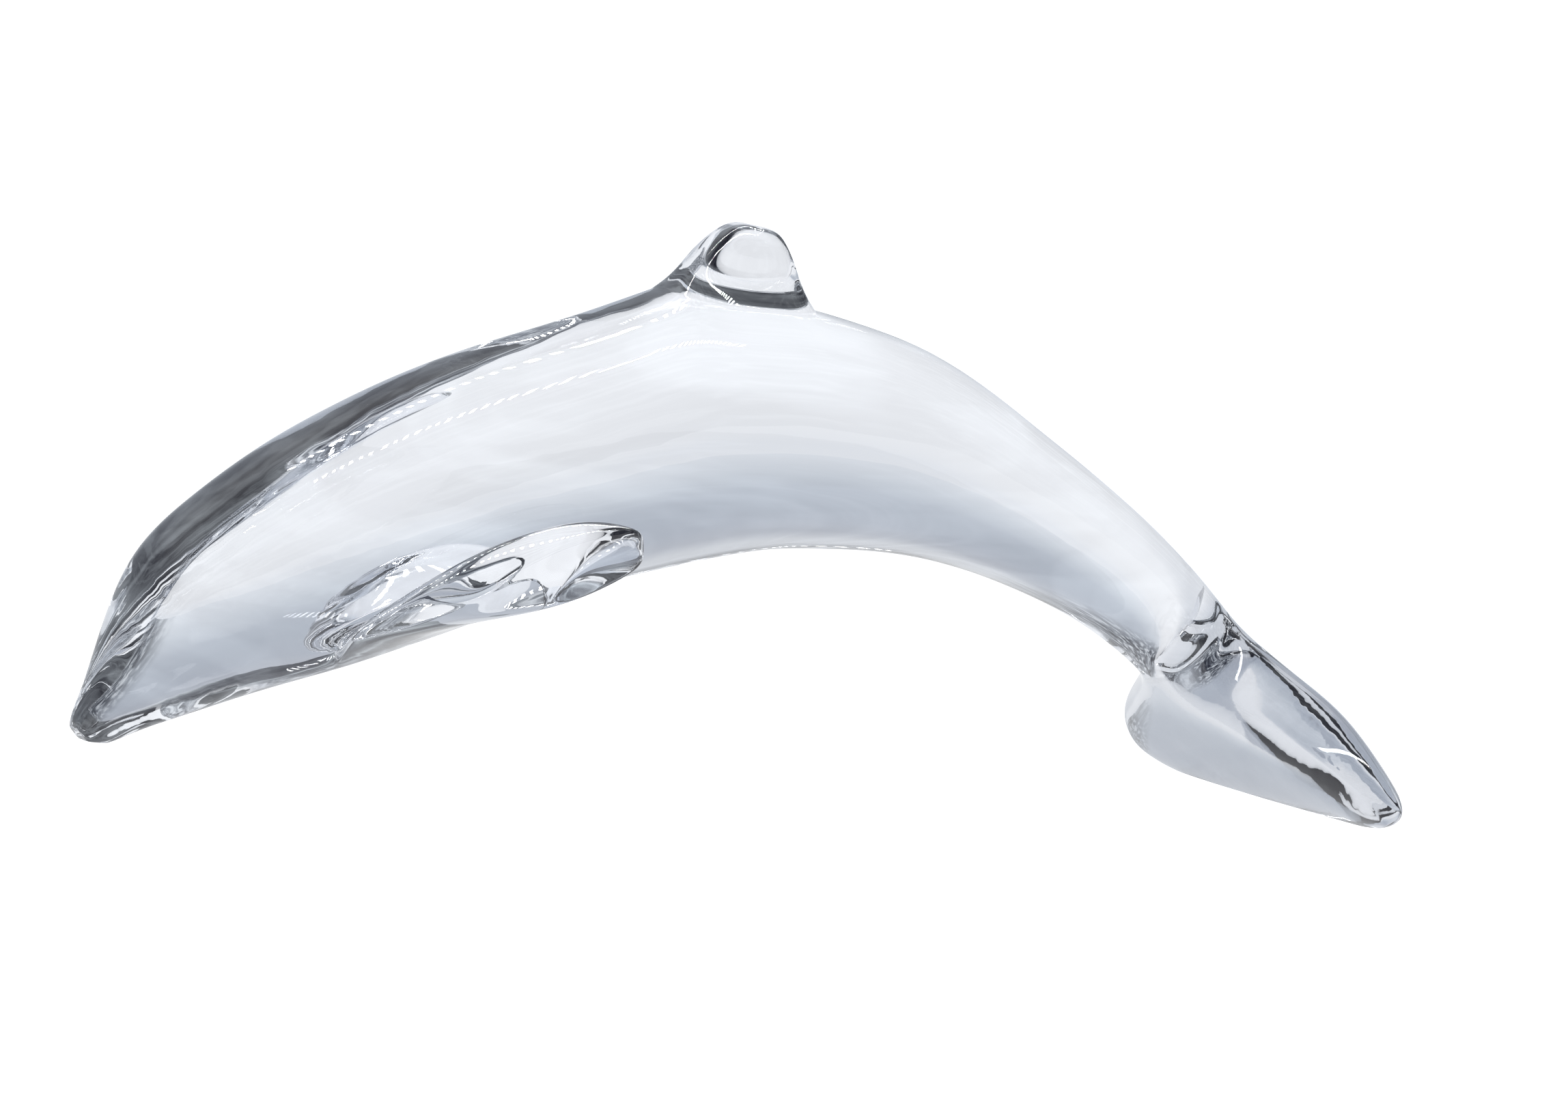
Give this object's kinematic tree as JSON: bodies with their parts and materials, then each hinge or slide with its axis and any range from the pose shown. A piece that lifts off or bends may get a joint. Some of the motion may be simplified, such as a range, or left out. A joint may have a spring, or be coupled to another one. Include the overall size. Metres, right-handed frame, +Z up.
{
  "type": "crystal dolphin figurine",
  "caption": "Solid clear crystal figurine of a leaping dolphin, arched to stand on its chin and the edge of its tail flukes.",
  "frame": {"origin": "on the table plane that the chin and the fluke edge rest on, under the middle of the overall length and on the body's middle plane", "axes": "+X from the head towards the tail, +Y towards the dolphin's right side, +Z up through the back"},
  "size_m": [0.2031, 0.0708, 0.0802],
  "materials": {
    "crystal": "fire-polished clear crystal"
  },
  "bodies": {
    "root": {"body": "crystal", "dorsal_fin": "crystal", "pectoral_fin_left": "crystal", "pectoral_fin_right": "crystal", "tail_fluke": "crystal"}
  },
  "joints": []
}
